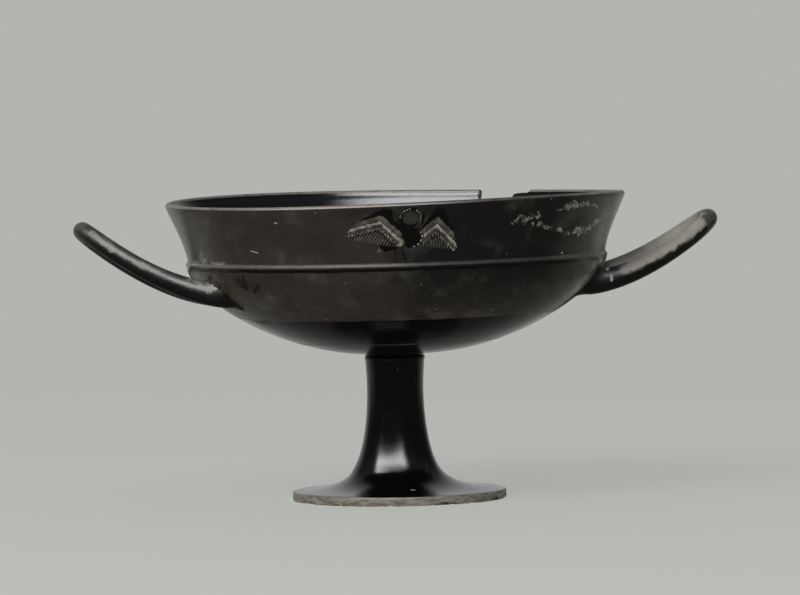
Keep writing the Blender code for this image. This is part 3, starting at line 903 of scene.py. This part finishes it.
def lime_chips_and_glint(tree, spot):
    """Pale lime: crusts and scratches along short lines, broken up by a fine grain, then specks and chips,
    one of them a painted highlight on the foot.
    """
    ragged = add(tree, "TexNoise", {"Vector": spot, "Scale": 0.35, "Detail": 5.0, "Roughness": 0.65})
    ragged = add(tree, "MULTIPLY_ADD", (ragged, 9.0, -4.9))
    near = add(tree, "ADD", (near_lines(tree, spot, LIME_MARKS), ragged))
    grain = cloudy(tree, spot, LIME_GRAIN, 0.40, 0.60)
    crust = together(tree, [brushed(tree, [near], 0.6), grain], "MINIMUM")
    crust = add(tree, "MULTIPLY", (crust, 0.8))
    cells = add(tree, "TexVoronoi", {"Vector": spot, "Scale": 1 / SPECK_SPACING}).node.outputs
    reach = add(tree, "MULTIPLY", (add(tree, "SeparateXYZ", (cells["Color"],)), SPECK_RADIUS))
    speck = add(tree, "MULTIPLY_ADD", (cells["Distance"], -SPECK_SPACING, reach))
    speck = add(tree, "MULTIPLY", (brushed(tree, [speck], 0.08), 0.6))
    return together(tree, [crust, speck, brushed(tree, [near_lines(tree, spot, CHIPS_AND_GLINT)])])


def from_handles(tree, angle):
    """The angle from the nearer handle's middle, the same on all four sides."""
    aside = add(tree, "ABSOLUTE", (half_turns(tree, angle, 0.0),))
    return add(tree, "MULTIPLY", (aside, math.pi))


# Colours of the clay, its slips and paints, of what the ground left on it, and of painted shade. The earth
# and lime colours also paint sheen and highlights
CLAY = "#4a413a"
CLAY_DEEP = "#342e29"
GLOSS = "#0e0c0a"
GLOSS_THIN = "#2b211a"
EARTH_GREY_AND_SHEEN = "#b5ada1"
LIME_AND_HIGHLIGHT = "#cfc9bc"
WHITE_PAINT = "#c6c0b3"
GREY_PAINT = "#7a7267"
# Painted shade: the tint for the side turned away from the windows
SHADE_PAINT = "#1a1613"

# The side painted darker as shade, turned away from the windows: its middle, how far it runs round, and how
# it grows upwards
SHADE_ANGLE = math.radians(-70.0)
SHADE_REACH = (0.6, 1.05)
SHADE_RISE = (94.0, 110.0, 0.35, 0.9)

# Sizes in mm of what varies over the clay, and how rough and deep it is
CLOUD_SIZE = 26.0
STREAK_SIZE = 9.0
GRAIN_SIZE = 1.6
GRAIN_ROUGHNESS = (0.24, 0.34)
THROWING_LINES = 0.9
THROWING_DEPTH = 0.05 * MM
DULLED_ROUGHNESS = 0.55
CLAY_IOR = 1.55


def fired_clay(name, design, gloss_roughness):
    """Wheel-thrown clay under its slips: burnished clay where bare, with the paint and wear of a design, and
    the painted shade and highlights it gives.
    """
    material = bpy.data.materials.new(name)
    material.use_nodes = True
    tree = material.node_tree
    shader = tree.nodes["Principled BSDF"]
    spot, angle, radius, height = cup_places(tree)
    layers = design(tree, spot, angle, radius, height)

    clouds = cloudy(tree, spot, CLOUD_SIZE, 0.35, 0.65, upright=2.2)
    grain = cloudy(tree, spot, GRAIN_SIZE, 0.3, 0.75, detail=3.0, upright=2.5)
    depth = add(tree, "MULTIPLY_ADD", (clouds, 0.65, grain))
    depth = add(tree, "MULTIPLY", (depth, 0.6))
    colour = add(tree, "Mix", {0: depth, 6: linear(CLAY), 7: linear(CLAY_DEEP)}, out=2, data_type="RGBA")
    roughness = add(tree, "MapRange", (grain, 0.0, 1.0, *GRAIN_ROUGHNESS))

    streaks = cloudy(tree, spot, STREAK_SIZE, 0.5, 0.95, upright=6.0)
    black = add(tree, "Mix", {0: streaks, 6: linear(GLOSS), 7: linear(GLOSS_THIN)}, out=2, data_type="RGBA")
    sheen = add(tree, "MapRange", (clouds, 0.0, 1.0, *gloss_roughness))
    if "dulled" in layers:
        sheen = add(tree, "Mix", {0: layers["dulled"], 2: sheen, 3: DULLED_ROUGHNESS})
    # Layers over the clay: painted shade, gloss, earth with painted sheen, grey and white paint, lime with
    # painted highlights
    for layer, tint, dull in (
        ("painted_shade", linear(SHADE_PAINT), 0.3),
        ("gloss", black, sheen),
        ("earth_and_sheen", linear(EARTH_GREY_AND_SHEEN), 0.6),
        ("grey", linear(GREY_PAINT), 0.55),
        ("white", linear(WHITE_PAINT), 0.55),
        ("lime_and_highlight", linear(LIME_AND_HIGHLIGHT), 0.8),
    ):
        if layer in layers:
            colour = add(tree, "Mix", {0: layers[layer], 6: colour, 7: tint}, out=2, data_type="RGBA")
            roughness = add(tree, "Mix", {0: layers[layer], 2: roughness, 3: dull})
    tree.links.new(colour, shader.inputs["Base Color"])
    tree.links.new(roughness, shader.inputs["Roughness"])
    shader.inputs["IOR"].default_value = CLAY_IOR

    lines = cloudy(tree, spot, THROWING_LINES, 0.2, 0.8, detail=2.0, upright=5.0)
    relief = add(tree, "Bump", {"Strength": 0.25, "Distance": THROWING_DEPTH, "Height": lines})
    tree.links.new(relief, shader.inputs["Normal"])
    return material


def outside_design(tree, spot, angle, radius, height):
    """Bird and bare clay on the lip and handle zone, black below, on the stem and on the foot. Painted shade
    darkens the side turned from the windows, and painted highlights lie on the ledge, the crown and beside
    the right handle's root.
    """
    waver = cloudy(tree, spot, 14.0, 0.2, 0.8, detail=2.0)
    uneven = add(tree, "MULTIPLY_ADD", (waver, 0.5, height))
    line = stripe(tree, uneven, *LINE_UNDER_LIP)
    below = add(tree, "SUBTRACT", (BLACK_BELOW, uneven))
    on_bowl = add(tree, "SUBTRACT", (height, BOWL_BOTTOM / MM))
    thin = brushed(tree, [together(tree, [stripe(tree, radius, *THIN_LINE_RADII), on_bowl], "MINIMUM")])
    edge = add(tree, "SUBTRACT", (radius, FOOT_RADIUS / MM - FOOT_EDGE_WIDTH))
    on_foot = add(tree, "SUBTRACT", (FOOT_TOP_HEIGHT, height))
    foot_edge = brushed(tree, [together(tree, [edge, on_foot], "MINIMUM")])
    bird_black, bird_grey, bird_white = painted_bird(tree, angle, height)
    place = add(tree, "Attribute", out="Vector", attribute_name="handle_place")
    gap = add(tree, "SeparateXYZ", (place,), out="Z")
    by_root = add(tree, "MULTIPLY_ADD", (gap, -1 / MM, ROOT_REACH))
    low_root = add(tree, "SUBTRACT", (ROOT_TOP, height))
    round_root = together(tree, [by_root, low_root], "MINIMUM")
    slanted = add(tree, "MULTIPLY_ADD", (height, *ROOT_SLANT))
    slanted = add(tree, "MULTIPLY_ADD", (from_handles(tree, angle), -PALMETTE_RADIUS, slanted))
    right_side = add(tree, "SeparateXYZ", (spot,), out="X")
    slanted = together(tree, [slanted, right_side], "MINIMUM")
    faded = add(tree, "MULTIPLY_ADD", (cloudy(tree, spot, 2.6, 0.42, 0.62), 0.45, 0.5))
    leaves = add(tree, "MULTIPLY", (painted_palmettes(tree, angle, height), faded))
    under_lip = add(tree, "SUBTRACT", (ROOTS_BELOW, height))
    roots = together(tree, [together(tree, [round_root, slanted]), under_lip], "MINIMUM")
    gloss = brushed(tree, [line, below, roots])
    gloss = kept_from(tree, kept_from(tree, gloss, thin), foot_edge)
    gloss = together(tree, [gloss, bird_black, leaves])
    worn_edge = cloudy(tree, spot, 5.0, 0.35, 0.65, upright=3.0)
    worn_edge = add(tree, "MULTIPLY_ADD", (worn_edge, 0.55, 0.4))
    earth_and_sheen = together(tree, [foot_edge, worn_edge], "MINIMUM")
    # Painted shade on the side turned away from the windows
    painted_shade = painted_shade_side(tree, spot, angle, height)
    film = add(tree, "MULTIPLY", (cloudy(tree, spot, 16.0, 0.48, 0.75), 0.13))
    # A painted highlight: clay painted lighter beside the right handle's root, put into the earth film and
    # the lime colour
    rubbed_and_lit = add(tree, "MapRange", (near_lines(tree, spot, CLAY_PAINTED_LIGHTER), -6.0, 3.0, 0.0, 0.6))
    rubbed_and_lit = add(tree, "MULTIPLY", (rubbed_and_lit, cloudy(tree, spot, 7.0, 0.3, 0.62)))
    rubbed_and_lit = kept_from(tree, rubbed_and_lit, gloss)
    film = kept_from(tree, together(tree, [film, rubbed_and_lit]), gloss)
    # The painted shade also darkens the clay under the black round the handles' roots
    painted_shade = together(tree, [painted_shade, brushed(tree, [roots])])
    # A painted highlight along the ledge under the lip, where light catches its top
    ledge = pale_line_worn_and_lit(tree, spot, stripe(tree, height, *LEDGE))
    ledge = add(tree, "MULTIPLY", (ledge, 0.5))
    # The crown's wear and painted highlight, with the ledge's painted highlight
    worn = together(tree, [crown_worn_and_lit(tree, spot, height), ledge])
    # The pale crown and ledge lines fade where the painted shade lies
    worn = kept_from(tree, worn, add(tree, "MULTIPLY", (painted_shade, 0.7)))
    # Part of that painted highlight, in the lime colour
    painted_highlight_pale = add(tree, "MULTIPLY", (rubbed_and_lit, 0.4))
    return {
        "painted_shade": painted_shade,
        "dulled": add(tree, "MapRange", (gap, 4.0 * MM, 12.0 * MM, 1.0, 0.0)),
        "gloss": gloss,
        "earth_and_sheen": together(tree, [earth_and_sheen, film, worn]),
        "grey": bird_grey,
        "white": bird_white,
        "lime_and_highlight": together(tree, [lime_chips_and_glint(tree, spot), painted_highlight_pale]),
    }


def painted_shade_side(tree, spot, angle, height):
    """Painted shade: the clay darker on the side turned away from the windows, a hand's breadth wide on the
    side with the lime.
    """
    off = add(tree, "SUBTRACT", (angle, SHADE_ANGLE))
    off = add(tree, "ABSOLUTE", (off,))
    waver = add(tree, "TexNoise", {"Vector": spot, "Scale": 0.04, "Detail": 3.0})
    off = add(tree, "MULTIPLY_ADD", (waver, 0.7, off))
    near = add(tree, "MapRange", (off, *SHADE_REACH, 1.0, 0.0), interpolation_type="SMOOTHSTEP")
    above = add(tree, "MapRange", (height, *SHADE_RISE))
    return add(tree, "MULTIPLY", (near, above))


def pale_line_worn_and_lit(tree, spot, inside):
    """A narrow pale line, uneven, given how far inside it a place lies: rubbed pale on the crown, and painted
    lighter as a highlight on the crown and the ledge.
    """
    rubbed_and_lit = add(tree, "MULTIPLY_ADD", (cloudy(tree, spot, 6.0, 0.25, 0.6), 0.4, 0.45))
    return add(tree, "MULTIPLY", (brushed(tree, [inside], 0.3), rubbed_and_lit))


def crown_worn_and_lit(tree, spot, height):
    """The rim's crown, rubbed pale and painted lighter as a highlight where light catches it."""
    return pale_line_worn_and_lit(tree, spot, add(tree, "SUBTRACT", (height, CROWN_ABOVE)))


def inside_design(tree, spot, angle, radius, height):
    """Black gloss all over, with a small bare disc, a dot and a circle on the floor."""
    circle = stripe(tree, radius, *CIRCLE_RADII)
    dot = stripe(tree, radius, -DOT_RADIUS, DOT_RADIUS)
    disc = brushed(tree, [stripe(tree, radius, -DISC_RADIUS, DISC_RADIUS)])
    bare = kept_from(tree, disc, brushed(tree, [circle, dot]))
    low = add(tree, "SUBTRACT", (DISC_BELOW, height))
    bare = together(tree, [bare, brushed(tree, [low])], "MINIMUM")
    return {
        "gloss": add(tree, "SUBTRACT", (1.0, bare)),
        # The crown inside, rubbed pale and painted lighter as a highlight
        "earth_and_sheen": crown_worn_and_lit(tree, spot, height),
    }


def handle_design(tree, spot, angle, radius, height):
    """Black gloss below, paler along the top: rubbed dull on the left handle; pale and smooth on the right
    one, rubbed and painted pale as a sheen where light falls on its tops. Painted highlights streak the left
    one.
    """
    place = add(tree, "Attribute", out="Vector", attribute_name="handle_place")
    high = add(tree, "SeparateXYZ", (place,), out="Y")
    blotches = add(tree, "TexNoise", {"Vector": spot, "Scale": 0.13, "Detail": 6.0, "Roughness": 0.7})
    high = add(tree, "MULTIPLY_ADD", (blotches, 1.5, high))
    parts = add(tree, "SeparateXYZ", (spot,)).node.outputs
    right = add(tree, "MapRange", (parts["X"], -10.0, 10.0))
    # On the right handle the far arm's forward flank is painted pale too, as part of its painted sheen
    back = add(tree, "MapRange", (parts["Y"], 0.0, 14.0, 0.0, 0.9))
    high = add(tree, "MULTIPLY_ADD", (right, back, high))
    rubbed_and_lit = add(tree, "MapRange", (high, *RUBBED_AND_LIT_HEIGHT), interpolation_type="SMOOTHSTEP")
    left = add(tree, "SUBTRACT", (1.0, right))
    out = add(tree, "MULTIPLY_ADD", (blotches, 16.0, radius))
    start = add(tree, "MapRange", (out, *RUBBED_AND_LIT_FROM), interpolation_type="SMOOTHSTEP")
    end = add(tree, "MapRange", (out, *RUBBED_AND_LIT_TO, 1.0, 0.15), interpolation_type="SMOOTHSTEP")
    span = together(tree, [start, end], "MINIMUM")
    rubbed_and_lit = together(tree, [rubbed_and_lit, together(tree, [span, left])], "MINIMUM")
    streaks = cloudy(tree, spot, 6.0, 0.45, 0.64, detail=6.0)
    dull = add(tree, "MULTIPLY_ADD", (streaks, 0.16, 0.10))
    # On the right handle the pale top is a painted sheen, where light falls on its tops
    pale = add(tree, "MULTIPLY_ADD", (streaks, 0.3, 0.7))
    strength = add(tree, "Mix", {0: right, 2: dull, 3: pale})
    earth_and_sheen = add(tree, "MULTIPLY", (rubbed_and_lit, strength))
    # A painted highlight over the right handle's pale top
    painted_sheen = add(tree, "MULTIPLY", (right, 0.75))
    painted_sheen = add(tree, "MULTIPLY", (earth_and_sheen, painted_sheen))
    # Painted highlights: pale streaks along the left handle's top, where light catches it
    painted_highlights = add(tree, "MULTIPLY_ADD", (blotches, 5.0, near_lines(tree, spot, HANDLE_PAINTED_HIGHLIGHTS)))
    painted_highlights = add(tree, "MapRange", (painted_highlights, 2.2, 3.4, 0.0, 0.7))
    painted_highlights = together(tree, [painted_highlights, cloudy(tree, spot, 2.2, 0.3, 0.55)], "MINIMUM")
    return {"gloss": 1.0, "earth_and_sheen": earth_and_sheen, "lime_and_highlight": together(tree, [lime_chips_and_glint(tree, spot), painted_sheen, painted_highlights])}


def bare_design(tree, spot, angle, radius, height):
    """Bare clay, dusty with earth."""
    return {"earth_and_sheen": add(tree, "MULTIPLY", (cloudy(tree, spot, 5.0, 0.3, 0.8), 0.7))}


# Burnished clay with gloss paint: dark, muted and smooth, with a soft shine.
# Gloss slip, poured inside and brushed on the handles: near black and shining like a worn varnish. The
# handles' pale tops are partly a painted sheen.
# The underside and the breaks show the plain clay: dull and a little earthy.
cup_materials = [
    fired_clay("burnished_clay_painted_outside", outside_design, (0.14, 0.20)),
    fired_clay("black_gloss_slip_inside", inside_design, (0.11, 0.17)),
    fired_clay("black_gloss_slip_handles_rubbed_and_lit", handle_design, (0.36, 0.46)),
    fired_clay("bare_clay_underside", bare_design, (0.2, 0.2)),
    fired_clay("broken_clay", bare_design, (0.2, 0.2)),
]

build_cup()

# Camera, as the photograph sees the cup
CAMERA_TURN = math.radians(7.5)
CAMERA_DISTANCE = 2.930
CAMERA_HEIGHT = 0.2259
CAMERA_ROLL = math.radians(1.0)
CAMERA_LENS = 274.23
AIM = Vector((0.00075, -0.00037, 0.0969))

stand = Vector((
    -CAMERA_DISTANCE * math.sin(CAMERA_TURN),
    -CAMERA_DISTANCE * math.cos(CAMERA_TURN),
    CAMERA_HEIGHT,
))
camera = bpy.data.objects.new("camera", bpy.data.cameras.new("camera"))
camera.data.lens = CAMERA_LENS
camera.data.sensor_width = 36
look = (AIM - stand).to_track_quat("-Z", "Y").to_matrix().to_4x4()
camera.matrix_world = Matrix.Translation(stand) @ look @ Matrix.Rotation(-CAMERA_ROLL, 4, "Z")
bpy.context.scene.collection.objects.link(camera)
bpy.context.scene.camera = camera

# Pale floor, which fades into the pale room with its distance from the cup
ROOM = "#b3b5b0"
CARD = "#a5a7a2"
CARD_MIRRORED = (0.02, 0.35, 0.12, 1.0)
FLOOR_GLOW = 0.77
FLOOR_FADE = (0.5, 1.9)
FLOOR_HALF = 2.5

floor_shape = bmesh.new()
bmesh.ops.create_grid(floor_shape, x_segments=1, y_segments=1, size=FLOOR_HALF)
floor_mesh = bpy.data.meshes.new("floor")
floor_shape.to_mesh(floor_mesh)
floor_shape.free()
card = bpy.data.materials.new("matt_white_card")
card.use_nodes = True
card_tree = card.node_tree
card_place = add(card_tree, "TexCoord", out="Object")
card_reach = add(card_tree, "VectorMath", (card_place,), out="Value", operation="LENGTH")
card_fade = add(card_tree, "MapRange", (card_reach, *FLOOR_FADE), interpolation_type="SMOOTHSTEP")
card_lit = add(card_tree, "BsdfDiffuse", (linear(CARD),))
card_glow = add(card_tree, "Emission", (linear(ROOM), FLOOR_GLOW))
card_seen = add(card_tree, "AddShader", (card_lit, card_glow))
card_parts = add(card_tree, "SeparateXYZ", (card_place,)).node.outputs
card_far = add(card_tree, "MapRange", (card_parts["Y"], *CARD_MIRRORED))
card_mirrored = add(card_tree, "Emission", (linear(ROOM), card_far))
card_gloss = add(card_tree, "LightPath", out="Is Glossy Ray")
card_seen = add(card_tree, "MixShader", (card_gloss, card_seen, card_mirrored))
card_clear = add(card_tree, "BsdfTransparent")
card_all = add(card_tree, "MixShader", (card_fade, card_seen, card_clear))
card_tree.links.new(card_all, card_tree.nodes["Material Output"].inputs["Surface"])
floor_mesh.materials.append(card)
floor = bpy.data.objects.new("floor", floor_mesh)
bpy.context.scene.collection.objects.link(floor)

# A pale room, dark only on the camera's side, and windows high on the left. The room's light is given by
# how far a direction points to its far side, from where to where, and from how dark to how bright
ROOM_SIDE = (0.6, 0.97, 0.05, 0.58)
ROOM_TOP = (0.35, 0.8)
ROOM_TOP_LIGHT = 0.2

world = bpy.data.worlds.new("pale_room")
bpy.context.scene.world = world
world.use_nodes = True
room = world.node_tree
room_way = add(room, "TexCoord", out="Generated")
room_parts = add(room, "SeparateXYZ", (room_way,)).node.outputs
room_light = add(room, "MapRange", (room_parts["Y"], *ROOM_SIDE))
room_over = add(room, "MapRange", (room_parts["Z"], *ROOM_TOP))
room_light = add(room, "Mix", {0: room_over, 2: room_light, 3: ROOM_TOP_LIGHT})
room_seen = add(room, "LightPath", out="Is Camera Ray")
room_grey = add(room, "CombineColor", (room_light, room_light, room_light))
room_colour = add(room, "Mix", {0: room_seen, 6: room_grey, 7: linear(ROOM)}, out=2, data_type="RGBA")
room.links.new(room_colour, room.nodes["Background"].inputs["Color"])
bpy.context.scene.view_settings.view_transform = "Standard"

# Name, turn to the left and rise in degrees, distance, width and height in metres, and watts
WINDOWS = (
    ("window_in_gloss", 27.5, 45.0, 2.2, 3.5, 1.16, 130),
    ("window_on_clay", 36.0, 36.0, 3.2, 2.2, 1.8, 33),
)
WINDOW_AIM = Vector((0, 0, 0.1))
for name, turn, rise, distance, width, tall, watts in WINDOWS:
    light = bpy.data.lights.new(name, "AREA")
    light.shape = "RECTANGLE"
    light.size = width
    light.size_y = tall
    light.energy = watts
    window = bpy.data.objects.new(name, light)
    turned_by, raised_by = math.radians(turn), math.radians(rise)
    way = Vector((
        -math.sin(turned_by) * math.cos(raised_by),
        -math.cos(turned_by) * math.cos(raised_by),
        math.sin(raised_by),
    ))
    window.location = way * distance + WINDOW_AIM
    window.rotation_euler = (-way).to_track_quat("-Z", "Y").to_euler()
    window.visible_camera = False
    window.visible_diffuse = name == "window_on_clay"
    window.visible_glossy = name == "window_in_gloss"
    bpy.context.scene.collection.objects.link(window)
